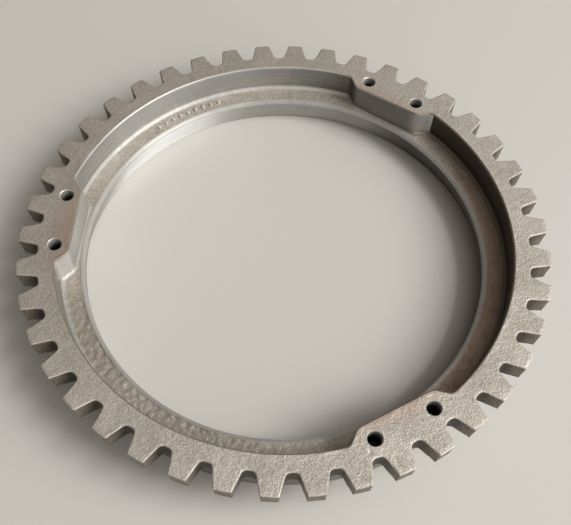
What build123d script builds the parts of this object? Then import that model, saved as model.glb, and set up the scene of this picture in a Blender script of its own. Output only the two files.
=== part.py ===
"""Cast ring gear: a toothed rim on a short drum, bored to a taper, with three bolting lugs.

The ring is one casting and so one solid. Its origin is the centre of the underside, on
which the drum stands, and +Z is the gear's axis. Sizes are in millimetres and degrees.
"""

import os
from math import degrees, radians, sqrt, tan

from build123d import *

# Toothed rim: a flange at the top of the casting
tooth_count = 42
tip_radius = 176.0
tooth_depth = 13.6
rim_thickness = 16.0
tip_draft = 5.0  # the tooth ends lean in towards the underside
gap_floor_width = 6.4  # between the flanks, at the floor of a tooth gap
flank_angle = 18.0  # of each flank from the centre line of its gap
flank_draft = 2.0  # a gap widens towards the underside
root_fillet = 2.8

# Drum below the rim, and the height of the whole casting
height = 44.0
drum_setback = 5.2  # from the floor of the tooth gaps in to the drum
drum_cove = 3.6  # under the rim
drum_foot_chamfer = 1.0

# Recess turned into the top, down to an annular ledge
recess_wall = 5.7  # metal between the recess and the drum's outside
recess_depth = 21.0
recess_cove = 3.0
recess_lip = 1.0  # rounding of the recess's top edge

# Bore: a bevelled lip, a short parallel throat, then a taper that opens downwards
ledge_width = 15.5  # from the recess's wall in to the throat
throat_length = 3.0
throat_bevel = 2.6
taper_spread = 6.0  # by which the taper's mouth stands outside the throat
taper_mouth_chamfer = 0.8

# Bolting lugs, which fill the recess at three places
lug_count = 3
first_lug_angle = 60.0
lug_depth = 11.5  # from the recess's wall in to the lug's flat inner face
lug_face_width = 52.0
lug_flank_angle = 40.0  # between the inner face and each slanted end
lug_nose_fillet = 6.0
lug_foot_fillet = 4.5
lug_sector_angle = 36.0  # a sector that holds one whole lug

# Two bolt holes in each lug
bolt_spacing = 40.0
bolt_inset = 11.5  # from the lug's face out to the bolt circle
bolt_hole_diameter = 9.0
bolt_hole_depth = 18.0
bolt_mouth_diameter = 10.4
drill_point_angle = 118.0

# Plain raised pips in a row on the ledge
pip_count = 9
pip_foot_diameter = 3.6
pip_top_diameter = 2.6
pip_height = 1.2
pip_pitch = 6.4
pip_row_inset = 7.5  # from the recess's wall in to the row
pip_row_angle = 124.0  # of the middle of the row

# Sizes that follow from the ones above
root_radius = tip_radius - tooth_depth
tip_foot_radius = tip_radius - rim_thickness * tan(radians(tip_draft))
drum_radius = root_radius - drum_setback
recess_radius = drum_radius - recess_wall
throat_radius = recess_radius - ledge_width
bevel_radius = throat_radius + throat_bevel
taper_mouth_radius = throat_radius + taper_spread
rim_underside = height - rim_thickness
ledge_height = height - recess_depth
throat_top = ledge_height - throat_bevel
throat_bottom = throat_top - throat_length
overlap = 2.0  # how far a shape runs into the metal, or past it, where it is joined or cut

gap_outer_radius = tip_radius + overlap
gap_flare = (gap_outer_radius - root_radius) * tan(radians(flank_angle))
gap_floor_half_width = gap_floor_width / 2
gap_outer_half_width = gap_floor_half_width + gap_flare

lug_face_distance = recess_radius - lug_depth
lug_back_distance = recess_radius + overlap
lug_flare = (lug_back_distance - lug_face_distance) / tan(radians(lug_flank_angle))
lug_face_half_width = lug_face_width / 2
lug_back_half_width = lug_face_half_width + lug_flare
sector_radius = recess_radius + 2 * overlap
sector_half_width = sector_radius * tan(radians(lug_sector_angle / 2))

bolt_radius = bolt_hole_diameter / 2
bolt_circle_radius = lug_face_distance + bolt_inset
bolt_distance = sqrt(bolt_circle_radius**2 - (bolt_spacing / 2) ** 2)
drill_point_length = bolt_radius / tan(radians(drill_point_angle / 2))
pip_row_radius = recess_radius - pip_row_inset
pip_step_angle = degrees(pip_pitch / pip_row_radius)
first_pip_angle = pip_row_angle - pip_step_angle * (pip_count - 1) / 2


def corner_at(sketch, radius, level):
    """Find the corner of a section that lies at a radius and a height."""
    target = Vector(radius, level)
    return sketch.vertices().sort_by(lambda corner: (Vector(*corner) - target).length)[0]


def from_axis(corner):
    """Measure a corner's distance from the gear's axis, to a hundredth of a millimetre."""
    return round(Vector(corner.X, corner.Y).length, 2)


# Outline of the recess, which runs round the lugs with rounded corners
with BuildSketch(Plane.XY.offset(ledge_height)) as recess_outline:
    Circle(recess_radius)
    with PolarLocations(0, lug_count, start_angle=first_lug_angle):
        Polygon(
            (lug_face_distance, -lug_face_half_width),
            (lug_back_distance, -lug_back_half_width),
            (lug_back_distance, lug_back_half_width),
            (lug_face_distance, lug_face_half_width),
            align=None,
            mode=Mode.SUBTRACT,
        )
    fillet(recess_outline.vertices().group_by(from_axis)[-1], radius=lug_foot_fillet)
    fillet(recess_outline.vertices().group_by(from_axis)[0], radius=lug_nose_fillet)

# Sectors that part the lugs from the rest of the rim
with BuildSketch(Plane.XY.offset(ledge_height)) as lug_sectors:
    with PolarLocations(0, lug_count, start_angle=first_lug_angle):
        Polygon(
            (0, 0),
            (sector_radius, -sector_half_width),
            (sector_radius, sector_half_width),
            align=None,
        )

# The lugs are what the recess leaves of its disc, and they reach into the rim behind it
with BuildSketch(Plane.XY.offset(ledge_height)) as lug_outline:
    Circle(lug_back_distance)
    add(recess_outline.sketch, mode=Mode.SUBTRACT)
    add(lug_sectors.sketch, mode=Mode.INTERSECT)

with BuildPart() as ring_gear:
    # Turned section of drum, rim, recess, ledge and bore
    with BuildSketch(Plane.XZ) as section:
        with BuildLine():
            Polyline(
                (taper_mouth_radius, 0),
                (drum_radius, 0),
                (drum_radius, rim_underside),
                (tip_foot_radius, rim_underside),
                (tip_radius, height),
                (recess_radius, height),
                (recess_radius, ledge_height),
                (bevel_radius, ledge_height),
                (throat_radius, throat_top),
                (throat_radius, throat_bottom),
                close=True,
            )
        make_face()
        fillet(corner_at(section, drum_radius, rim_underside), radius=drum_cove)
        fillet(corner_at(section, recess_radius, ledge_height), radius=recess_cove)
        chamfer(corner_at(section, drum_radius, 0), length=drum_foot_chamfer)
        chamfer(corner_at(section, taper_mouth_radius, 0), length=taper_mouth_chamfer)
    revolve(axis=Axis.Z)

    # Lugs, flush with the rim's top
    add(lug_outline.sketch)
    extrude(amount=recess_depth)

    # Rounded lip of the recess and the lugs
    top_face = ring_gear.faces().filter_by(Plane.XY).sort_by(Axis.Z)[-1]
    fillet(top_face.inner_wires()[0].edges(), radius=recess_lip)

    # Tooth gaps
    with BuildSketch(Plane.XY.offset(height)) as gaps:
        with PolarLocations(0, tooth_count):
            Polygon(
                (root_radius, -gap_floor_half_width),
                (gap_outer_radius, -gap_outer_half_width),
                (gap_outer_radius, gap_outer_half_width),
                (root_radius, gap_floor_half_width),
                align=None,
            )
        fillet(gaps.vertices().group_by(from_axis)[0], radius=root_fillet)
    extrude(amount=-(rim_thickness + overlap), taper=-flank_draft, mode=Mode.SUBTRACT)

    # Bolt holes, two in each lug, with a bevelled mouth and a drill point
    with Locations(Plane.XY.offset(height)):
        with PolarLocations(0, lug_count, start_angle=first_lug_angle):
            with Locations((bolt_distance, -bolt_spacing / 2), (bolt_distance, bolt_spacing / 2)):
                CounterSinkHole(
                    radius=bolt_radius,
                    counter_sink_radius=bolt_mouth_diameter / 2,
                    depth=bolt_hole_depth,
                    counter_sink_angle=90,
                )
    with Locations(Plane.XY.offset(height - bolt_hole_depth)):
        with PolarLocations(0, lug_count, start_angle=first_lug_angle):
            with Locations((bolt_distance, -bolt_spacing / 2), (bolt_distance, bolt_spacing / 2)):
                Cone(
                    bottom_radius=0,
                    top_radius=bolt_radius,
                    height=drill_point_length,
                    align=(Align.CENTER, Align.CENTER, Align.MAX),
                    mode=Mode.SUBTRACT,
                )

    # Raised pips on the ledge
    with Locations(Plane.XY.offset(ledge_height)):
        with PolarLocations(
            pip_row_radius,
            pip_count,
            start_angle=first_pip_angle,
            angular_range=pip_step_angle * (pip_count - 1),
            endpoint=True,
        ):
            Cone(
                bottom_radius=pip_foot_diameter / 2,
                top_radius=pip_top_diameter / 2,
                height=pip_height,
                align=(Align.CENTER, Align.CENTER, Align.MIN),
            )

os.makedirs("parts", exist_ok=True)
ring_gear.part.label = "ring_gear"
export_step(ring_gear.part, "parts/ring_gear.step")
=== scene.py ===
"""Dressed model of a cast ring gear.

One closed shell stands for the casting: a toothed rim on a short drum, a stepped recess with
three bolting lugs, and a turned bore. The shell is grown ring by ring round its section, so
each surface has its own rings, and the skins that come out of the sand are roughened after it
closes. Shapes are worked out in millimetres and brought to metres when the mesh is finished.
"""

import logging
from dataclasses import dataclass
from enum import Enum, IntEnum
from math import atan2, cos, pi, radians, sin, sqrt, tan
from typing import Callable, ClassVar

import bmesh
import bpy
import numpy as np
from bmesh.types import BMEdge, BMesh, BMFace, BMVert
from bpy.types import Material, Node, NodeSocket, NodeTree, Object
from mathutils import Matrix, Vector, noise


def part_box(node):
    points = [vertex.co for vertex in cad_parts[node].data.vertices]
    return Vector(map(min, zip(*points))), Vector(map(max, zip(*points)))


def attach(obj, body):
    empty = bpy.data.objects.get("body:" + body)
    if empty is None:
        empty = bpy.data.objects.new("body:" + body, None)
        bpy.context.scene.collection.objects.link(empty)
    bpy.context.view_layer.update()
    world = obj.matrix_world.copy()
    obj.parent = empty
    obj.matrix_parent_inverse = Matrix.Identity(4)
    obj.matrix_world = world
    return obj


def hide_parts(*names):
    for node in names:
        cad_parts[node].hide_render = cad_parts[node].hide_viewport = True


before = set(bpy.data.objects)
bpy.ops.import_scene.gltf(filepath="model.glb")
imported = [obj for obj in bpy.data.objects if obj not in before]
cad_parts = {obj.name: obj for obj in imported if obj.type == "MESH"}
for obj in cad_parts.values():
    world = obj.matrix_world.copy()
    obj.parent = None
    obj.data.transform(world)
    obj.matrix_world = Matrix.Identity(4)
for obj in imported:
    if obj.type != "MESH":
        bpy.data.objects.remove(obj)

NODE = "ring_gear"
BODY = "root"
MM = 0.001  # metres in a millimetre

# Steps of the casting's section, in millimetres
DRUM_SETBACK = 5.2  # from the tooth roots in to the drum
DRUM_WALL = 5.7  # from the drum in to the recess wall
RECESS_DEPTH = 21.0
LEDGE_WIDTH = 15.5  # from the recess wall in to the throat
TAPER = 6.0  # from the throat out to the bore's mouth
PIP_SETBACK = 7.5  # from the recess wall in to the pips
SAME_PLACE = 0.01  # points closer than this are one

NOISE_ROUGHNESS = 0.6
IN_PLAN = (1, 1, 0)  # what a place is multiplied by to lose its height
QUARTER_TURN = 0.25

SocketPair = tuple[NodeSocket, NodeSocket]
Measured = tuple[NodeSocket, float, float]

LOG = logging.getLogger(NODE)


class Skin(IntEnum):
    """The casting's kinds of surface, in the order of the mesh's material slots."""

    FACE = 0
    FLANK = 1
    WALL = 2
    LEDGE = 3
    BORE = 4
    DRUM = 5
    LUG = 6
    LIP = 7
    COVE = 8
    BEVEL = 9
    HOLE = 10
    HOLE_MOUTH = 11


AS_CAST = (Skin.FACE, Skin.FLANK, Skin.LEDGE, Skin.COVE)


class Fade(Enum):
    """How a share rises between two levels."""

    SMOOTH = "SMOOTHSTEP"
    EVEN = "LINEAR"


class Joining(Enum):
    """What is done to a piece with another solid."""

    CUT = "DIFFERENCE"
    ADD = "UNION"


# ------ small tools


def linear_colour(code: str) -> tuple[float, float, float, float]:
    """Turn an sRGB hex colour into the linear one that the shaders take.

    Args:
        code: the colour as "#RRGGBB".

    Returns:
        Linear red, green, blue and an alpha of 1.
    """
    channels = [int(code[i : i + 2], 16) / 255 for i in (1, 3, 5)]
    straight = [c / 12.92 if c <= 0.04045 else ((c + 0.055) / 1.055) ** 2.4 for c in channels]
    return (*straight, 1.0)


def add_node(tree: NodeTree, kind: str, inputs: dict | None = None, **settings: object) -> Node:
    """Add a node to a tree, with its settings and its links.

    Args:
        tree: the node tree that gets the node.
        kind: the shader node's type without its prefix, such as "TexNoise".
        inputs: for each input's name or number, a value or the output socket linked to it.
        settings: properties of the node itself.

    Returns:
        The new node.
    """
    node = tree.nodes.new("ShaderNode" + kind)
    for name, value in settings.items():
        setattr(node, name, value)
    for name, value in (inputs or {}).items():
        if isinstance(value, NodeSocket):
            tree.links.new(value, node.inputs[name])
        else:
            node.inputs[name].default_value = value
    return node


def rounded_corner(
    before: Vector, corner: Vector, after: Vector, radius: float, steps: int
) -> list[Vector]:
    """Round a corner between two straight edges with an arc.

    Args:
        before: a point on the edge that comes in.
        corner: the sharp corner.
        after: a point on the edge that goes out.
        radius: the arc's radius.
        steps: how many straight steps make the arc.

    Returns:
        The arc's points, from one tangent point to the other.
    """
    back = (before - corner).normalized()
    ahead = (after - corner).normalized()
    half_angle = back.angle(ahead) / 2
    centre = corner + (back + ahead).normalized() * (radius / sin(half_angle))
    start = corner + back * (radius / tan(half_angle)) - centre
    end = corner + ahead * (radius / tan(half_angle)) - centre
    turn = atan2(start.cross(end), start.dot(end))
    return [centre + Matrix.Rotation(turn * i / steps, 2) @ start for i in range(steps + 1)]


def steps_between(start: Vector, end: Vector, steps: int) -> list[Vector]:
    """List the points that part a straight edge into equal steps, without its two ends."""
    return [start.lerp(end, i / steps) for i in range(1, steps)]


def steps_round(radius: float, first: float, last: float, steps: int) -> list[Vector]:
    """List the points that part an arc round the gear's axis into equal steps, without its ends."""
    angles = [first + (last - first) * i / steps for i in range(1, steps)]
    return [Vector((radius * cos(a), radius * sin(a))) for a in angles]


def turned_copies(points: list[Vector], copies: int) -> np.ndarray:
    """Repeat a list of plan points round the gear's axis, the first copy where it stands."""
    turns = [Matrix.Rotation(2 * pi * i / copies, 2) for i in range(copies)]
    return np.array([turn @ point for turn in turns for point in points])


# ------ outlines in plan


@dataclass
class Outline:
    """A closed outline of the casting in plan, with one point for each station.

    Attributes:
        points: the places of the stations, one row each.
        inward: unit vectors, square to the outline, that point into the metal.
    """

    points: np.ndarray
    inward: np.ndarray

    @classmethod
    def through(cls, points: np.ndarray, metal_outside: bool) -> "Outline":
        """Make an outline from points that run anticlockwise.

        Args:
            points: the stations' places.
            metal_outside: true for a hole, whose metal lies outside the outline.

        Returns:
            The outline with its vectors into the metal.
        """
        along = np.roll(points, -1, axis=0) - np.roll(points, 1, axis=0)
        along /= np.linalg.norm(along, axis=1, keepdims=True)
        inward = np.stack([-along[:, 1], along[:, 0]], axis=1)
        return cls(points, -inward if metal_outside else inward)

    @classmethod
    def circle(cls, radius: float, stations: int, metal_outside: bool) -> "Outline":
        """Make a round outline about the gear's axis."""
        angles = np.arange(stations) * 2 * pi / stations
        points = radius * np.stack([np.cos(angles), np.sin(angles)], axis=1)
        return cls.through(points, metal_outside)

    def ring(self, inset: float | np.ndarray, level: float | np.ndarray) -> np.ndarray:
        """Place the outline at a height, moved into the metal.

        Args:
            inset: how far it moves, for the whole outline or for each station.
            level: its height, for the whole outline or for each station.

        Returns:
            One row of x, y and z for each station.
        """
        moved = self.points + self.inward * np.reshape(inset, (-1, 1))
        heights = np.broadcast_to(level, len(moved))
        return np.column_stack([moved, heights])


@dataclass
class ToothedRim:
    """The flange with its teeth, and how many stations run round each tooth."""

    tip_radius: float
    top: float
    tooth_count: int = 42
    tooth_depth: float = 13.6
    thickness: float = 16.0
    gap_floor_width: float = 6.4
    flank_angle: float = radians(18)
    flank_draft: float = radians(2)
    tip_draft: float = radians(5)
    root_fillet: float = 2.8
    tip_corner_rounding: float = 1.3
    top_rounding: float = 1.0
    foot_rounding: float = 0.5
    floor_steps: int = 1
    corner_steps: int = 3
    flank_steps: int = 5
    tip_steps: int = 2

    @property
    def root_radius(self) -> float:
        """Distance from the axis to the floor of a tooth gap."""
        return self.tip_radius - self.tooth_depth

    @property
    def underside(self) -> float:
        """Height of the rim's underside."""
        return self.top - self.thickness

    @property
    def stations(self) -> int:
        """How many stations run round the whole rim."""
        half = self.floor_steps + 2 * self.corner_steps + self.flank_steps + self.tip_steps
        return 2 * half * self.tooth_count

    def half_pitch(self) -> list[Vector]:
        """List the stations from the middle of a gap up to the middle of a tooth."""
        half_floor = self.gap_floor_width / 2
        slope = tan(self.flank_angle)
        foot = Vector((self.root_radius, half_floor))
        # The flank's line meets the tip circle where x solves a quadratic
        a = 1 + slope**2
        b = slope * (half_floor - slope * self.root_radius)
        c = (half_floor - slope * self.root_radius) ** 2 - self.tip_radius**2
        x = (-b + sqrt(b**2 - a * c)) / a
        head = Vector((x, half_floor + slope * (x - self.root_radius)))
        half_angle = pi / self.tooth_count
        crown = self.tip_radius * Vector((cos(half_angle), sin(half_angle)))
        floor_middle = Vector((self.root_radius, 0))
        root = rounded_corner(floor_middle, foot, head, self.root_fillet, self.corner_steps)
        tip = rounded_corner(foot, head, crown, self.tip_corner_rounding, self.corner_steps)
        tip_angle = atan2(tip[-1].y, tip[-1].x)
        points = [floor_middle, *steps_between(floor_middle, root[0], self.floor_steps), *root]
        points += [*steps_between(root[-1], tip[0], self.flank_steps), *tip]
        points += steps_round(self.tip_radius, tip_angle, half_angle, self.tip_steps)
        return [*points, crown]

    def outline(self) -> Outline:
        """Lay the teeth round the rim, with a gap's middle at the first station."""
        rising = self.half_pitch()
        turn = Matrix.Rotation(2 * pi / self.tooth_count, 2)
        falling = [turn @ Vector((p.x, -p.y)) for p in reversed(rising[1:-1])]
        points = turned_copies([*rising, *falling], self.tooth_count)
        return Outline.through(points, metal_outside=False)

    def draft(self, outline: Outline) -> np.ndarray:
        """Tell how far each station moves into the metal for each millimetre down.

        Args:
            outline: the rim's outline.

        Returns:
            The tangent of the draft at each station, larger on the tooth ends.
        """
        radii = np.linalg.norm(outline.points, axis=1)
        facing = -np.sum(outline.inward * outline.points, axis=1) / radii
        on_tip = np.clip(facing, 0, 1) * (radii > self.tip_radius - self.tooth_depth / 2)
        return tan(self.flank_draft) + (tan(self.tip_draft) - tan(self.flank_draft)) * on_tip


@dataclass
class LuggedRecess:
    """The recess in the top, whose outline runs round three bolting lugs."""

    radius: float
    floor: float
    lug_count: int = 3
    lug_depth: float = 11.5
    face_width: float = 52.0
    slant: float = radians(40)
    nose_fillet: float = 6.0
    foot_fillet: float = 4.5
    lip_rounding: float = 1.0
    cove: float = 2.2
    least_cove: float = 0.3
    cove_share: float = 0.4
    fine_steps: int = 60

    def half_lug(self) -> list[Vector]:
        """List close points from a lug's middle, on the +X axis, to the end of its foot."""
        face = self.radius - self.lug_depth
        middle = Vector((face, 0))
        nose = Vector((face, self.face_width / 2))
        ahead = Vector((sin(self.slant), cos(self.slant)))
        reach = -nose.dot(ahead) + sqrt(nose.dot(ahead) ** 2 - nose.dot(nose) + self.radius**2)
        foot = nose + ahead * reach
        beyond_angle = atan2(foot.y, foot.x) + self.foot_fillet / self.radius
        beyond = self.radius * Vector((cos(beyond_angle), sin(beyond_angle)))
        nose_arc = rounded_corner(middle, nose, foot, self.nose_fillet, self.fine_steps)
        foot_arc = rounded_corner(nose, foot, beyond, self.foot_fillet, self.fine_steps)
        points = [middle, *steps_between(middle, nose_arc[0], self.fine_steps), *nose_arc]
        return [*points, *steps_between(nose_arc[-1], foot_arc[0], self.fine_steps), *foot_arc]

    def from_lug(self, stations: int) -> np.ndarray:
        """Tell each station's angle from the middle of its lug; the first is midway between two."""
        angles = np.arange(stations) * 2 * pi / stations
        return np.abs(angles % (2 * pi / self.lug_count) - pi / self.lug_count)

    def outline(self, stations: int) -> Outline:
        """Lay the outline round the lugs, with its stations at equal angles.

        Args:
            stations: how many stations run right round.

        Returns:
            The recess's outline.
        """
        lug = np.array(self.half_lug())
        lug_angles = np.arctan2(lug[:, 1], lug[:, 0])
        lug_radii = np.linalg.norm(lug, axis=1)
        radii = np.interp(self.from_lug(stations), lug_angles, lug_radii, right=self.radius)
        round_points = Outline.circle(1.0, stations, metal_outside=True).points
        return Outline.through(round_points * radii[:, None], metal_outside=True)

    def on_lug(self, stations: int) -> np.ndarray:
        """Tell for each station whether it lies on a lug rather than on the turned wall."""
        foot = self.half_lug()[-1]
        return self.from_lug(stations) <= atan2(foot.y, foot.x)


# ------ the casting


@dataclass
class Dent:
    """A blow hole or a chipped corner in the as-cast skin.

    Attributes:
        angle: its place round the gear, in degrees.
        radius: its distance from the gear's axis.
        level: its height above the underside.
        width: how wide it is.
        depth: how deep its middle is.
    """

    angle: float
    radius: float
    level: float
    width: float
    depth: float

    @property
    def place(self) -> Vector:
        """The middle of the dent."""
        a = radians(self.angle)
        return Vector((self.radius * cos(a), self.radius * sin(a), self.level))

    def sink(self, point: Vector) -> float:
        """Tell how far the dent sinks a point of the surface."""
        share = (point - self.place).length / (self.width / 2)
        return self.depth * max(0.0, 1 - share**2)


@dataclass
class SandSkin:
    """The unevenness that a sand mould leaves: a slow waviness, lumps, and coarse grain."""

    wave_length: float = 16.0
    wave_height: float = 0.16
    lump_length: float = 4.5
    lump_height: float = 0.12
    grain_length: float = 1.7
    grain_height: float = 0.08
    coarse_length: float = 3.2
    coarse_height: float = 0.55
    coarse_lift: float = 0.5
    coarse_rise: float = 2.0
    coarse_middle: float = radians(232)
    coarse_spread: float = radians(48)
    coarse_reach: float = 151.0

    def sink(self, point: Vector) -> float:
        """Tell how far the skin lies under the nominal surface at a point."""
        wave = noise.noise(point / self.wave_length) * self.wave_height
        lump = noise.noise(point / self.lump_length) * self.lump_height
        grain = noise.noise(point / self.grain_length) * self.grain_height
        level = (self.wave_height + self.lump_height + self.grain_height) / 2
        return max(0.0, level + wave + lump + grain) + self.coarse_sink(point)

    def coarse_sink(self, point: Vector) -> float:
        """Tell how much deeper the skin lies where the sand of the ledge was coarse."""
        if point.xy.length > self.coarse_reach:
            return 0.0
        facing = cos(atan2(point.y, point.x) - self.coarse_middle)
        share = max(0.0, (facing - cos(self.coarse_spread)) / (1 - cos(self.coarse_spread)))
        coarse = noise.noise(point / self.coarse_length) + self.coarse_lift
        return max(0.0, coarse) * self.coarse_height * min(1.0, self.coarse_rise * share)


@dataclass
class Casting:
    """The whole ring: rim, drum, recess, ledge and bore, as one closed shell."""

    rim: ToothedRim
    recess: LuggedRecess
    drum_radius: float
    throat_radius: float
    mouth_radius: float
    throat_bevel: float = 2.6
    throat_length: float = 3.0
    mouth_chamfer: float = 0.8
    drum_cove: float = 3.6
    drum_chamfer: float = 1.0
    round_steps: int = 3
    face_steps: int = 12
    flank_steps: int = 7
    underside_steps: int = 3
    drum_steps: int = 4
    foot_steps: int = 2
    taper_steps: int = 4
    ledge_steps: int = 13
    wall_steps: int = 8

    @classmethod
    def from_frame(cls) -> "Casting":
        """Size the casting from the frame's own box and the steps of its section."""
        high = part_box(NODE)[1]
        rim = ToothedRim(tip_radius=high.y / MM, top=high.z / MM)
        drum_radius = rim.root_radius - DRUM_SETBACK
        recess = LuggedRecess(radius=drum_radius - DRUM_WALL, floor=rim.top - RECESS_DEPTH)
        throat_radius = recess.radius - LEDGE_WIDTH
        return cls(rim, recess, drum_radius, throat_radius, mouth_radius=throat_radius + TAPER)

    def rings(self) -> list[tuple[np.ndarray, Skin]]:
        """Work out the rings of the shell in order round its section.

        Returns:
            For each ring its stations' places and the skin that leads up to it. The first
            ring is the last one over again, so that the shell closes.
        """
        rim, recess = self.rim, self.recess
        stations = rim.stations
        teeth = rim.outline()
        draft = rim.draft(teeth)
        lugs = recess.outline(stations)
        drum = Outline.circle(self.drum_radius, stations, metal_outside=False)
        throat = Outline.circle(self.throat_radius, stations, metal_outside=True)
        mouth = Outline.circle(self.mouth_radius, stations, metal_outside=True)
        found: list[tuple[np.ndarray, Skin]] = []

        def straight(end: np.ndarray, steps: int, skin: Skin) -> None:
            """Run on from the last ring to another in equal steps."""
            start = found[-1][0]
            for i in range(1, steps + 1):
                found.append((start + (end - start) * (i / steps), skin))

        def rounded(place: Callable[[float, float], np.ndarray], skin: Skin) -> None:
            """Run round a quarter circle, placed by a share that falls to 0 and one that rises to 1."""
            for i in range(1, self.round_steps + 1):
                angle = pi / 2 * i / self.round_steps
                found.append((place(1 - sin(angle), 1 - cos(angle)), skin))

        # Top face, from the recess's lip out to the teeth
        lip, edge = recess.lip_rounding, rim.top_rounding
        found.append((lugs.ring(lip, rim.top), Skin.FACE))
        straight(teeth.ring(edge, rim.top), self.face_steps, Skin.FACE)
        rounded(
            lambda fall, rise: teeth.ring(edge * fall + draft * edge * rise, rim.top - edge * rise),
            Skin.FACE,
        )

        # Flanks and tooth ends, drawn in towards the underside
        foot = rim.foot_rounding
        above_foot = teeth.ring(draft * (rim.thickness - foot), rim.underside + foot)
        straight(above_foot, self.flank_steps, Skin.FLANK)
        inset = draft * rim.thickness
        rounded(
            lambda fall, rise: teeth.ring(inset + foot * rise, rim.underside + foot * fall),
            Skin.FLANK,
        )

        # Underside of the rim, and the cove under it
        hollow = self.drum_cove
        straight(drum.ring(-hollow, rim.underside), self.underside_steps, Skin.FLANK)
        rounded(lambda fall, rise: drum.ring(-hollow * fall, rim.underside - hollow * rise), Skin.FLANK)

        # Drum, underside and taper
        straight(drum.ring(0, self.drum_chamfer), self.drum_steps, Skin.DRUM)
        straight(drum.ring(self.drum_chamfer, 0), 1, Skin.DRUM)
        straight(mouth.ring(self.mouth_chamfer, 0), self.foot_steps, Skin.DRUM)
        straight(mouth.ring(0, self.mouth_chamfer), 1, Skin.BORE)
        bevel = self.throat_bevel
        throat_top = recess.floor - bevel
        straight(throat.ring(0, throat_top - self.throat_length), self.taper_steps, Skin.BORE)
        straight(throat.ring(0, throat_top), 1, Skin.BORE)
        rounded(
            lambda fall, rise: throat.ring(bevel * rise, throat_top + bevel * (1 - fall)),
            Skin.BEVEL,
        )

        # Ledge, with a cove that shrinks where a lug leaves little ledge
        bevel_radius = self.throat_radius + bevel
        room = np.linalg.norm(lugs.points, axis=1) - bevel_radius
        cove = np.clip(room * recess.cove_share, recess.least_cove, recess.cove)
        straight(lugs.ring(-cove, recess.floor), self.ledge_steps, Skin.LEDGE)
        rounded(lambda fall, rise: lugs.ring(-cove * fall, recess.floor + cove * rise), Skin.COVE)

        # Recess wall, up to the rounded lip
        straight(lugs.ring(0, rim.top - lip), self.wall_steps, Skin.WALL)
        rounded(lambda fall, rise: lugs.ring(lip * rise, rim.top - lip * fall), Skin.LIP)
        return found

    def shell(self) -> BMesh:
        """Grow the shell from a circle of stations, one ring after another, and close it.

        Returns:
            The closed shell, in millimetres.
        """
        mesh = bmesh.new()
        station = mesh.verts.layers.int.new("station")
        rings = self.rings()
        count = self.rim.stations
        on_lug = self.recess.on_lug(count)
        circle = bmesh.ops.create_circle(mesh, segments=count, radius=self.recess.radius)
        for i, vert in enumerate(circle["verts"]):
            vert[station] = i
            vert.co = rings[0][0][i]
        rim_edges = list(mesh.edges)
        for places, skin in rings[1:]:
            grown = bmesh.ops.extrude_edge_only(mesh, edges=rim_edges)["geom"]
            for vert in (g for g in grown if isinstance(g, BMVert)):
                vert.co = places[vert[station]]
            for face in (g for g in grown if isinstance(g, BMFace)):
                cast_lug = skin is Skin.WALL and on_lug[face.verts[0][station]]
                face.material_index = Skin.LUG if cast_lug else skin
            rim_edges = [g for g in grown if isinstance(g, BMEdge) and g.is_boundary]
        ends = {v for e in mesh.edges if e.is_boundary for v in e.verts}
        bmesh.ops.remove_doubles(mesh, verts=list(ends), dist=SAME_PLACE)
        bmesh.ops.recalc_face_normals(mesh, faces=mesh.faces)
        return mesh

    def roughen(self, mesh: BMesh, skin: SandSkin, dents: list[Dent]) -> None:
        """Sink the as-cast skins under their nominal surface, and make the dents.

        Args:
            mesh: the closed shell, in millimetres.
            skin: the unevenness of the sand mould.
            dents: the blow holes and chips.
        """
        mesh.normal_update()
        cast = [v for v in mesh.verts if all(f.material_index in AS_CAST for f in v.link_faces)]
        moves = []
        for vert in cast:
            depth = skin.sink(vert.co)
            depth += max(dent.sink(vert.co) for dent in dents)
            moves.append(vert.normal * -depth)
        for vert, move in zip(cast, moves):
            vert.co += move


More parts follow.
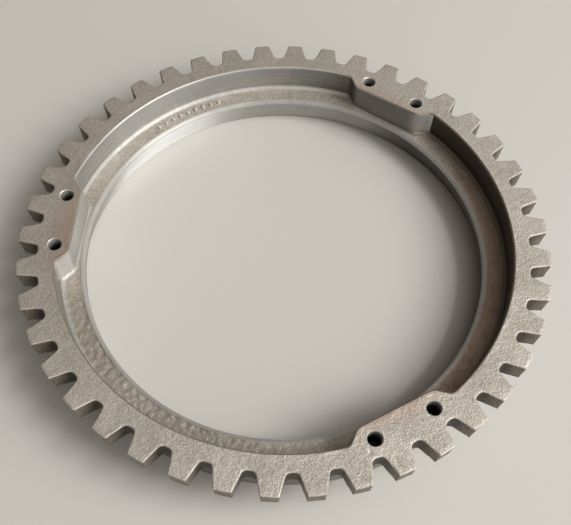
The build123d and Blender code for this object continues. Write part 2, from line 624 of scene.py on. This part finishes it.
@dataclass
class BoltHoles:
    """Two drilled holes in each lug, with a bevelled mouth and a drill point."""

    top: float
    circle_radius: float
    lug_count: int = 3
    spacing: float = 40.0
    diameter: float = 9.0
    depth: float = 18.0
    mouth_diameter: float = 10.4
    point_angle: float = radians(118)
    first_angle: float = radians(60)
    sides: int = 48
    clearance: float = 1.0
    least_slope: float = 0.1

    def drill(self) -> BMesh:
        """Turn the drill's outline into a solid about the Z axis, its shoulder at the lug's top."""
        mesh = bmesh.new()
        radius, mouth = self.diameter / 2, self.mouth_diameter / 2
        point = radius / tan(self.point_angle / 2)
        section = [
            (0, self.clearance),
            (mouth + self.clearance, self.clearance),
            (radius, radius - mouth),
            (radius, -self.depth),
            (0, -self.depth - point),
        ]
        verts = [mesh.verts.new((r, 0, z)) for r, z in section]
        edges = [mesh.edges.new(pair) for pair in zip(verts, verts[1:])]
        bmesh.ops.spin(
            mesh, geom=[*verts, *edges], cent=(0, 0, 0), axis=(0, 0, 1),
            angle=2 * pi, steps=self.sides, use_merge=True,
        )
        bmesh.ops.remove_doubles(mesh, verts=mesh.verts, dist=SAME_PLACE)
        bmesh.ops.recalc_face_normals(mesh, faces=mesh.faces)
        for face in mesh.faces:
            slopes = abs(face.normal.z) > self.least_slope and face.calc_center_median().z > -self.depth
            face.material_index = Skin.HOLE_MOUTH if slopes else Skin.HOLE
        return mesh

    def places(self) -> list[Vector]:
        """List the middles of the holes' mouths."""
        along = sqrt(self.circle_radius**2 - (self.spacing / 2) ** 2)
        pair = [Vector((along, side * self.spacing / 2)) for side in (-1, 1)]
        angles = [self.first_angle + 2 * pi * i / self.lug_count for i in range(self.lug_count)]
        turns = [Matrix.Rotation(angle, 2) for angle in angles]
        return [Vector((*(turn @ p), self.top)) for turn in turns for p in pair]

    def cutter(self) -> BMesh:
        """Put one drill at each hole."""
        one = self.drill()
        drill = bpy.data.meshes.new("drill")
        one.to_mesh(drill)
        one.free()
        mesh = bmesh.new()
        for place in self.places():
            before = set(mesh.verts)
            mesh.from_mesh(drill)
            bmesh.ops.translate(mesh, vec=place, verts=[v for v in mesh.verts if v not in before])
        bpy.data.meshes.remove(drill)
        return mesh


@dataclass
class PipRow:
    """A plain row of raised pips on the ledge."""

    ledge: float
    row_radius: float
    count: int = 9
    foot_diameter: float = 3.6
    top_diameter: float = 2.6
    height: float = 1.2
    pitch: float = 6.4
    middle_angle: float = radians(124)
    sides: int = 20
    root: float = 1.5
    edge_rounding: float = 0.4

    def solid(self) -> BMesh:
        """Make the pips, each a short taper that is rooted in the ledge."""
        mesh = bmesh.new()
        step = self.pitch / self.row_radius
        for i in range(self.count):
            angle = self.middle_angle + step * (i - (self.count - 1) / 2)
            pip = bmesh.ops.create_cone(
                mesh, cap_ends=True, segments=self.sides, radius1=self.foot_diameter / 2,
                radius2=self.top_diameter / 2, depth=self.height + self.root,
            )["verts"]
            middle = self.ledge + (self.height - self.root) / 2
            place = Vector((self.row_radius * cos(angle), self.row_radius * sin(angle), middle))
            bmesh.ops.translate(mesh, vec=place, verts=pip)
        top = self.ledge + self.height
        crowns = [e for e in mesh.edges if all(abs(v.co.z - top) < SAME_PLACE for v in e.verts)]
        bmesh.ops.bevel(
            mesh, geom=crowns, offset=self.edge_rounding, offset_type="OFFSET", segments=2,
            profile=0.5, affect="EDGES", material=-1,
        )
        for face in mesh.faces:
            face.material_index = Skin.COVE
        return mesh


# ------ finishes


@dataclass(frozen=True)
class Region:
    """A part of a surface, told by something measured at each place."""

    fade: ClassVar[Fade] = Fade.SMOOTH

    def measured(self, tree: NodeTree, place: NodeSocket) -> Measured:
        """Add the nodes that measure a place.

        Args:
            tree: the finish's node tree.
            place: the place on the piece.

        Returns:
            The measure, and its levels where the region has faded out and where it is whole.
        """
        raise NotImplementedError

    def share(self, tree: NodeTree, place: NodeSocket) -> NodeSocket:
        """Add the nodes that tell how far a place belongs here, from 0 to 1."""
        measure, gone, whole = self.measured(tree, place)
        levels = {"Value": measure, "From Min": gone, "From Max": whole}
        fade = self.fade.value
        return add_node(tree, "MapRange", levels, interpolation_type=fade).outputs[0]


@dataclass(frozen=True)
class Side(Region):
    """The part that lies on one side of the gear's axis, with all its angles in degrees.

    Attributes:
        middle: the side's angle round the axis.
        whole: how far to each side of the middle it is whole.
        gone: how far to each side it has faded out.
    """

    middle: float
    whole: float
    gone: float

    def measured(self, tree: NodeTree, place: NodeSocket) -> Measured:
        """Measure how squarely a place faces the side's middle."""
        flat = {0: place, 1: IN_PLAN}
        plan = add_node(tree, "VectorMath", flat, operation="MULTIPLY").outputs[0]
        way = add_node(tree, "VectorMath", {0: plan}, operation="NORMALIZE").outputs[0]
        both = {0: way, 1: (cos(radians(self.middle)), sin(radians(self.middle)), 0)}
        facing = add_node(tree, "VectorMath", both, operation="DOT_PRODUCT")
        return facing.outputs["Value"], cos(radians(self.gone)), cos(radians(self.whole))


@dataclass(frozen=True)
class Reach(Region):
    """The part that lies near the gear's axis.

    Attributes:
        whole_mm: the distance from the axis up to which it is whole.
        gone_mm: the distance at which it has faded out.
    """

    whole_mm: float
    gone_mm: float

    def measured(self, tree: NodeTree, place: NodeSocket) -> Measured:
        """Measure a place's distance from the axis."""
        flat = {0: place, 1: IN_PLAN}
        plan = add_node(tree, "VectorMath", flat, operation="MULTIPLY").outputs[0]
        radius = add_node(tree, "VectorMath", {0: plan}, operation="LENGTH")
        return radius.outputs["Value"], self.gone_mm * MM, self.whole_mm * MM


@dataclass(frozen=True)
class Below(Region):
    """The part that lies low.

    Attributes:
        whole_mm: the height up to which it is whole.
        gone_mm: the height at which it has faded out.
    """

    whole_mm: float
    gone_mm: float

    def measured(self, tree: NodeTree, place: NodeSocket) -> Measured:
        """Measure a place's height."""
        height = add_node(tree, "SeparateXYZ", {0: place}).outputs[2]
        return height, self.gone_mm * MM, self.whole_mm * MM


@dataclass(frozen=True)
class Blotches(Region):
    """Scattered patches of a surface.

    Attributes:
        size_mm: how large they are.
        threshold: the noise level at which they begin; fewer come through a higher one.
        softness: how much higher the noise is where they are whole.
        detail: how many finer sizes they carry.
    """

    fade: ClassVar[Fade] = Fade.EVEN

    size_mm: float
    threshold: float
    softness: float = 0.14
    detail: float = 6.0

    def measured(self, tree: NodeTree, place: NodeSocket) -> Measured:
        """Measure a cloudy noise."""
        values = {"Vector": place, "Scale": 1 / (self.size_mm * MM), "Detail": self.detail}
        values["Roughness"] = NOISE_ROUGHNESS
        cloud = add_node(tree, "TexNoise", values).outputs[0]
        return cloud, self.threshold, self.threshold + self.softness


@dataclass(frozen=True)
class Coat:
    """Something that lies over a finish and changes its colour, such as rust, or painted shade on one
    side of the gear.

    Attributes:
        colour: its own colour.
        strength: how well it covers where it is whole.
        regions: where it lies, which is where all of these meet.
    """

    colour: str
    strength: float
    regions: tuple[Region, ...]

    def over(self, tree: NodeTree, place: NodeSocket, under: NodeSocket) -> NodeSocket:
        """Add the nodes that lay this coat over a colour.

        Args:
            tree: the finish's node tree.
            place: the place on the piece.
            under: the colour under the coat.

        Returns:
            The colour that shows.
        """
        share = self.strength
        for region in self.regions:
            values = {0: region.share(tree, place), 1: share}
            share = add_node(tree, "Math", values, operation="MULTIPLY").outputs[0]
        colours = {"Factor": share, "A": under, "B": linear_colour(self.colour)}
        return add_node(tree, "Mix", colours, data_type="RGBA").outputs["Result"]


@dataclass(frozen=True)
class Speckle:
    """Patches of one size in the tone of a finish.

    Attributes:
        size_mm: how large they are.
        weight: how much they change the tone.
        detail: how many finer sizes they carry.
    """

    size_mm: float
    weight: float
    detail: float = 2.0

    def onto(self, tree: NodeTree, place: NodeSocket, tone: NodeSocket | float) -> SocketPair:
        """Add the nodes that lay these patches onto a tone.

        Args:
            tree: the finish's node tree.
            place: the place on the piece.
            tone: the tone so far.

        Returns:
            The patches alone, from 0 to 1, and the new tone.
        """
        values = {"Vector": place, "Scale": 1 / (self.size_mm * MM), "Detail": self.detail}
        values["Roughness"] = NOISE_ROUGHNESS
        patches = add_node(tree, "TexNoise", values).outputs[0]
        values = {0: patches, 1: self.weight, 2: tone}
        return patches, add_node(tree, "Math", values, operation="MULTIPLY_ADD").outputs[0]


@dataclass(frozen=True, kw_only=True)
class Iron:
    """What every finish of the grey iron has.

    Attributes:
        name: the material's name.
        pale: its lightest colour.
        dark: its darkest colour.
        metallic: how much of it shines as bare metal.
        roughness: how far it spreads a reflection.
        relief_mm: the height of its fine bumps.
        gloss_swing: how far the roughness moves to each side with the tone.
        coats: what lies over it, from the bottom up.
    """

    name: str
    pale: str
    dark: str
    metallic: float
    roughness: float
    relief_mm: float
    gloss_swing: float = 0.08
    coats: tuple[Coat, ...] = ()

    def pattern(self, tree: NodeTree, place: NodeSocket) -> SocketPair:
        """Add the nodes of the finish's own pattern.

        Args:
            tree: the material's node tree.
            place: the place on the piece.

        Returns:
            The tone, from 0 for dark to 1 for pale, and the height of the fine bumps.
        """
        raise NotImplementedError

    def material(self) -> Material:
        """Build the material's nodes."""
        material = bpy.data.materials.new(self.name)
        material.use_nodes = True
        tree = material.node_tree
        shader = tree.nodes["Principled BSDF"]
        place = add_node(tree, "TexCoord").outputs["Object"]
        tone, relief = self.pattern(tree, place)
        colours = {"Factor": tone, "A": linear_colour(self.dark), "B": linear_colour(self.pale)}
        colour = add_node(tree, "Mix", colours, data_type="RGBA").outputs["Result"]
        for coat in self.coats:
            colour = coat.over(tree, place, colour)
        dull, glossy = self.roughness + self.gloss_swing, self.roughness - self.gloss_swing
        gloss = {"Value": tone, "To Min": dull, "To Max": glossy}
        bump = {"Height": relief, "Strength": 1.0, "Distance": self.relief_mm * MM}
        tree.links.new(colour, shader.inputs["Base Color"])
        tree.links.new(add_node(tree, "MapRange", gloss).outputs[0], shader.inputs["Roughness"])
        tree.links.new(add_node(tree, "Bump", bump).outputs[0], shader.inputs["Normal"])
        shader.inputs["Metallic"].default_value = self.metallic
        return material


@dataclass(frozen=True, kw_only=True)
class SandCastIron(Iron):
    """Grey iron as it comes from a sand mould.

    The eye sees a dull metal skin, speckled pale and dark at the size of the sand, with soft
    lumps and slow changes of tone.
    """

    metallic: float = 0.4
    roughness: float = 0.52
    relief_mm: float = 0.35
    grain: Speckle = Speckle(1.1, 2.0)
    lump: Speckle = Speckle(3.0, 0.7)
    tone: Speckle = Speckle(38.0, 1.2, 3.0)

    def pattern(self, tree: NodeTree, place: NodeSocket) -> SocketPair:
        """Add the sand's grain and lumps, and the slow changes of tone."""
        level = 0.5 - (self.grain.weight + self.lump.weight + self.tone.weight) / 2
        tone = self.tone.onto(tree, place, level)[1]
        lump, tone = self.lump.onto(tree, place, tone)
        grain, tone = self.grain.onto(tree, place, tone)
        return tone, add_node(tree, "Math", {0: grain, 1: lump}).outputs[0]


@dataclass(frozen=True, kw_only=True)
class TurnedIron(Iron):
    """Grey iron turned on a lathe.

    The eye sees bare metal with fine streaks that run round the axis, brighter and darker where
    the tool has dragged, with a fine open grain and slow changes of tone where it has dulled.
    """

    metallic: float = 0.9
    roughness: float = 0.4
    relief_mm: float = 0.03
    streak_run_mm: float = 90.0
    streak_mm: float = 1.1
    streak_weight: float = 1.4
    streak_detail: float = 4.0
    grain: Speckle = Speckle(0.8, 1.0)
    tone: Speckle = Speckle(24.0, 1.0, 4.0)
    anisotropy: float = 0.8

    def pattern(self, tree: NodeTree, place: NodeSocket) -> SocketPair:
        """Add the streaks that run round the axis, the open grain and the dulled patches."""
        parts = add_node(tree, "SeparateXYZ", {0: place}).outputs
        plan = add_node(tree, "CombineXYZ", {0: parts[0], 1: parts[1]}).outputs[0]
        radius = add_node(tree, "VectorMath", {0: plan}, operation="LENGTH").outputs[1]
        # Height plus distance from the axis runs across the tool marks on every turned surface
        across = add_node(tree, "Math", {0: radius, 1: parts[2]}).outputs[0]
        squeeze = {0: across, 1: self.streak_run_mm / self.streak_mm}
        squeezed = add_node(tree, "Math", squeeze, operation="MULTIPLY").outputs[0]
        track = add_node(tree, "CombineXYZ", {0: parts[0], 1: parts[1], 2: squeezed}).outputs[0]
        level = 0.5 - (self.streak_weight + self.grain.weight + self.tone.weight) / 2
        tone = self.tone.onto(tree, place, level)[1]
        streak = Speckle(self.streak_run_mm, self.streak_weight, self.streak_detail)
        streaks, tone = streak.onto(tree, track, tone)
        grain, tone = self.grain.onto(tree, place, tone)
        return tone, add_node(tree, "Math", {0: streaks, 1: grain}).outputs[0]

    def material(self) -> Material:
        """Build the material, with reflections that spread across the tool marks."""
        material = super().material()
        tree = material.node_tree
        shader = tree.nodes["Principled BSDF"]
        # The spread lies a quarter turn from the run of the tool marks
        shader.inputs["Anisotropic"].default_value = self.anisotropy
        shader.inputs["Anisotropic Rotation"].default_value = QUARTER_TURN
        around = add_node(tree, "Tangent", direction_type="RADIAL", axis="Z")
        tree.links.new(around.outputs[0], shader.inputs["Tangent"])
        return material


@dataclass(frozen=True)
class PaleFloor:
    """A plain matt floor, which shows the gear's soft shadow and nothing else."""

    name: str = "matt_floor"
    colour: str = "#D0CCC5"
    roughness: float = 0.7
    specular: float = 0.2

    def material(self) -> Material:
        """Build the material, one even colour with no gloss."""
        material = bpy.data.materials.new(self.name)
        material.use_nodes = True
        shader = material.node_tree.nodes["Principled BSDF"]
        shader.inputs["Base Color"].default_value = linear_colour(self.colour)
        shader.inputs["Roughness"].default_value = self.roughness
        shader.inputs["Specular IOR Level"].default_value = self.specular
        return material


RUST = "#7A573F"
RUST_SPOTS = Coat(RUST, 0.7, (Blotches(14.0, 0.70),))
# Painted shade: a near-black brown over the right side of the recess wall
RIGHT_SIDE_PAINTED_SHADE = Coat("#2B1C0F", 0.92, (Side(12, 42, 90),))

FINISHES: dict[Skin, Iron] = {
    # Pale speckled faces, warmer towards the recess, with painted shade towards the upper left
    Skin.FACE: SandCastIron(
        name="sand_cast_face", pale="#D8D1C6", dark="#A39A8D",
        coats=(
            RUST_SPOTS,
            Coat("#C59F83", 0.28, (Reach(142.0, 151.5),)),
            # Painted shade: the face darker towards the upper left
            Coat("#8F8373", 0.30, (Side(140, 50, 130),)),
            Coat("#8A6A50", 0.22, (Reach(152.0, 160.0), Side(180, 12, 24))),
        ),
    ),
    # Darker sand skin, with painted shade that turns it nearly black towards the tooth roots
    Skin.FLANK: SandCastIron(
        name="sand_cast_flank", pale="#8F8679", dark="#625A4E", metallic=0.3,
        coats=(RUST_SPOTS, Coat("#2B241B", 0.85, (Reach(162.0, 174.0),))),
    ),
    # Bright turned metal, darkened nearly black at the right with painted shade
    Skin.WALL: TurnedIron(name="turned_recess_wall", pale="#C3C2C0", dark="#979693", coats=(RIGHT_SIDE_PAINTED_SHADE,)),
    # Pale speckled ledge, brown with rust at the right
    Skin.LEDGE: SandCastIron(
        name="sand_cast_ledge", pale="#CFC6B9", dark="#968D80",
        coats=(
            RUST_SPOTS,
            Coat("#A98566", 0.5, (Side(-12, 24, 58),)),
            Coat(RUST, 0.45, (Blotches(9.0, 0.50, 0.2), Side(-12, 24, 58))),
            Coat("#857C6E", 0.35, (Side(225, 38, 75),)),
        ),
    ),
    # The brightest metal, darkened nearly black at the right with painted shade, and greyer at the far
    # side and at the left
    Skin.BORE: TurnedIron(
        name="turned_bore", pale="#F1F2F2", dark="#CBCBC9", roughness=0.46, anisotropy=0.9,
        coats=(
            # Painted shade: a near-black brown over the right side of the bore
            Coat("#2B1C0F", 0.85, (Side(5, 40, 80),)),
            Coat("#8A867C", 0.55, (Side(92, 10, 30),)),
            Coat("#9A958A", 0.55, (Side(182, 14, 32),)),
        ),
    ),
    # Dull turned metal, mostly in shade
    Skin.DRUM: TurnedIron(name="turned_drum", pale="#A9A9A8", dark="#77746F"),
    # Smooth bright faces with hardly a streak, one of them darkened with painted shade
    Skin.LUG: TurnedIron(
        name="milled_lug_face", pale="#DEDCDA", dark="#BAB8B5", streak_weight=0.3,
        coats=(Coat("#3B352A", 0.75, (Side(66, 13, 20),)),),
    ),
    # A worn, soft gleam round the recess's edge, with painted shade over all of it but the upper left,
    # darker still at the right
    Skin.LIP: TurnedIron(
        name="worn_lip", pale="#D6D2CB", dark="#B2AEA7", metallic=0.5, roughness=0.45,
        coats=(
            Coat("#8C8374", 0.85, (Side(-60, 110, 150),)),
            Coat("#7A6A52", 0.6, (Side(-5, 40, 80),)),
        ),
    ),
    # A soft gleam at the foot of the wall and on the pips, with painted shade at the right
    Skin.COVE: TurnedIron(
        name="turned_cove", pale="#D2CFC9", dark="#AFACA5", metallic=0.5, roughness=0.5,
        coats=(Coat("#6A5C48", 0.75, (Side(-5, 40, 80),)),),
    ),
    # A soft gleam where the ledge turns into the bore
    Skin.BEVEL: TurnedIron(
        name="turned_bevel", pale="#CFCCC6", dark="#A9A69F", metallic=0.5, roughness=0.5
    ),
    # Dull metal with painted shade that darkens it to black deeper in the hole
    Skin.HOLE: TurnedIron(
        name="drilled_hole", pale="#D0CDC8", dark="#96928C", metallic=0.4, roughness=0.5, anisotropy=0.0,
        coats=(Coat("#17120D", 0.93, (Below(35.0, 43.0),)),),
    ),
    # A bright ring round each hole
    Skin.HOLE_MOUTH: TurnedIron(
        name="countersunk_mouth", pale="#D6D3CE", dark="#A9A6A0", metallic=0.5, roughness=0.45,
        anisotropy=0.0,
    ),
}


# ------ pieces and studio


def as_object(mesh: BMesh, name: str) -> Object:
    """Turn a shape in millimetres into an object in metres, and free the shape.

    Args:
        mesh: the shape.
        name: the object's name.

    Returns:
        The object, at the origin and in the scene.
    """
    bmesh.ops.scale(mesh, vec=(MM, MM, MM), verts=mesh.verts)
    data = bpy.data.meshes.new(name)
    mesh.to_mesh(data)
    mesh.free()
    made = bpy.data.objects.new(name, data)
    bpy.context.scene.collection.objects.link(made)
    return made


def combined(piece: Object, other: Object, joining: Joining) -> None:
    """Cut a solid out of a piece or join one to it, and delete the solid.

    Args:
        piece: the object that is changed.
        other: the solid.
        joining: whether the solid is cut out or added.
    """
    step = piece.modifiers.new(joining.name.lower(), "BOOLEAN")
    step.operation = joining.value
    step.solver = "EXACT"
    step.object = other
    graph = bpy.context.evaluated_depsgraph_get()
    done = bpy.data.meshes.new_from_object(piece.evaluated_get(graph))
    piece.modifiers.clear()
    old = piece.data
    piece.data = done
    bpy.data.meshes.remove(old)
    bpy.data.meshes.remove(other.data)


@dataclass
class RingGear:
    """The finished piece: the casting with its holes and pips, dressed in its finishes."""

    casting: Casting
    holes: BoltHoles
    pips: PipRow
    skin: SandSkin
    dents: list[Dent]
    smooth_angle: float = radians(38)

    @classmethod
    def from_frame(cls) -> "RingGear":
        """Size every part of the piece from the frame."""
        casting = Casting.from_frame()
        recess = casting.recess
        holes = BoltHoles(top=casting.rim.top, circle_radius=recess.radius)
        pips = PipRow(ledge=recess.floor, row_radius=recess.radius - PIP_SETBACK)
        top = casting.rim.top
        # One blow hole, a row of three pits on a tooth, and a short crack of close dents
        dents = [Dent(angle=-69.6, radius=157.9, level=top, width=3.0, depth=0.8)]
        dents += [Dent(-65.5, radius, top, width=2.4, depth=0.5) for radius in (166.8, 170.3, 172.9)]
        dents += [
            Dent(-36.5 - 0.9 * i, 165.2 + 0.7 * i, top, width=2.2, depth=0.4) for i in range(5)
        ]
        return cls(casting, holes, pips, SandSkin(), dents)

    def build(self) -> Object:
        """Build the mesh, cut the holes, add the pips and dress it.

        Returns:
            The piece, which stands for the frame's node.
        """
        shell = self.casting.shell()
        self.casting.roughen(shell, self.skin, self.dents)
        piece = as_object(shell, "ring_gear_casting")
        for skin in Skin:
            piece.data.materials.append(FINISHES[skin].material())
        combined(piece, as_object(self.holes.cutter(), "drills"), Joining.CUT)
        combined(piece, as_object(self.pips.solid(), "pips"), Joining.ADD)
        piece.data.shade_smooth()
        piece.data.set_sharp_from_angle(angle=self.smooth_angle)
        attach(piece, BODY)
        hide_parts(NODE)
        return piece


@dataclass
class Studio:
    """The floor, the camera, one lamp and a world that is bright on one side only."""

    floor_size: float = 60.0
    lens: float = 47.0
    sensor_width: float = 36.0
    camera_place: tuple[float, float, float] = (0.0082, -0.2802, 0.4544)
    camera_dip: float = radians(58.2)
    camera_heading: float = radians(1.48)
    camera_roll: float = radians(1.45)
    light_colour: str = "#F4F3F2"
    shade_colour: str = "#8A745E"
    bright_side: tuple[float, float, float] = (0.80, -0.42, 0.42)
    shade_until: float = -0.35
    shade_level: float = 0.03
    light_level: float = 1.22
    backdrop_colour: str = "#C6C1BA"
    backdrop_gloss: float = 0.12
    key_place: tuple[float, float, float] = (1.90, -0.62, 1.95)
    key_size: float = 1.3
    key_power: float = 58.0

    def floor(self) -> None:
        """Lay the floor under the gear."""
        mesh = bmesh.new()
        bmesh.ops.create_grid(mesh, x_segments=1, y_segments=1, size=self.floor_size / 2 / MM)
        floor = as_object(mesh, "floor")
        floor.data.materials.append(PaleFloor().material())

    def camera(self) -> None:
        """Set the camera, which looks down across the gear."""
        data = bpy.data.cameras.new("camera")
        data.lens = self.lens
        data.sensor_width = self.sensor_width
        camera = bpy.data.objects.new("camera", data)
        turn = Matrix.Rotation(self.camera_heading, 4, "Z")
        tilt = Matrix.Rotation(pi / 2 - self.camera_dip, 4, "X")
        roll = Matrix.Rotation(self.camera_roll, 4, "Z")
        camera.matrix_world = Matrix.Translation(self.camera_place) @ turn @ tilt @ roll
        bpy.context.scene.collection.objects.link(camera)
        bpy.context.scene.camera = camera

    def lamp(self) -> None:
        """Hang one large soft lamp to the right of the gear and aim it at the gear."""
        data = bpy.data.lights.new("key", "AREA")
        data.size = self.key_size
        data.energy = self.key_power
        lamp = bpy.data.objects.new("key", data)
        lamp.location = self.key_place
        lamp.rotation_euler = Vector(self.key_place).to_track_quat("Z", "Y").to_euler()
        bpy.context.scene.collection.objects.link(lamp)

    def world(self) -> None:
        """Light the gear from all round, brightly from one side and hardly from the other."""
        world = bpy.data.worlds.new("studio")
        world.use_nodes = True
        tree = world.node_tree
        background = tree.nodes["Background"]
        way = add_node(tree, "TexCoord").outputs["Generated"]
        side = Vector(self.bright_side).normalized()
        facing = add_node(tree, "VectorMath", {0: way, 1: side}, operation="DOT_PRODUCT")
        levels = {"Value": facing.outputs["Value"], "From Min": self.shade_until}
        fade = Fade.SMOOTH.value
        share = add_node(tree, "MapRange", levels, interpolation_type=fade).outputs[0]
        shade, light = linear_colour(self.shade_colour), linear_colour(self.light_colour)
        colours = {"Factor": share, "A": shade, "B": light}
        colour = add_node(tree, "Mix", colours, data_type="RGBA").outputs["Result"]
        levels = {"Value": share, "To Min": self.shade_level, "To Max": self.light_level}
        strength = add_node(tree, "MapRange", levels).outputs[0]
        tree.links.new(colour, background.inputs["Color"])
        tree.links.new(strength, background.inputs["Strength"])
        self.backdrop(tree, background)
        bpy.context.scene.world = world

    def backdrop(self, tree: NodeTree, background: Node) -> None:
        """Show a plain pale backdrop beyond the floor, which metal picks up a little of.

        Args:
            tree: the world's node tree.
            background: the node of the world's light.
        """
        paths = add_node(tree, "LightPath").outputs
        straight = {0: paths["Is Camera Ray"], 1: paths["Is Transmission Ray"]}
        direct = add_node(tree, "Math", straight)
        gloss = {0: paths["Is Glossy Ray"], 1: self.backdrop_gloss, 2: direct.outputs[0]}
        seen = add_node(tree, "Math", gloss, operation="MULTIPLY_ADD", use_clamp=True).outputs[0]
        plain = add_node(tree, "Background", {"Color": linear_colour(self.backdrop_colour)})
        shaders = {0: seen, 1: background.outputs[0], 2: plain.outputs[0]}
        both = add_node(tree, "MixShader", shaders)
        tree.links.new(both.outputs[0], tree.nodes["World Output"].inputs["Surface"])

    def build(self) -> None:
        """Set up the whole studio at a plain level."""
        self.floor()
        self.camera()
        self.lamp()
        self.world()
        bpy.context.scene.view_settings.view_transform = "Standard"


def main() -> None:
    """Build the piece and the studio, and report each one."""
    logging.basicConfig(level=logging.INFO, format="%(name)s: %(message)s")
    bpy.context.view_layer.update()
    Studio().build()
    LOG.info("studio ready")
    piece = RingGear.from_frame().build()
    LOG.info("%s: %d faces", piece.name, len(piece.data.polygons))


if __name__ == "__main__":
    main()
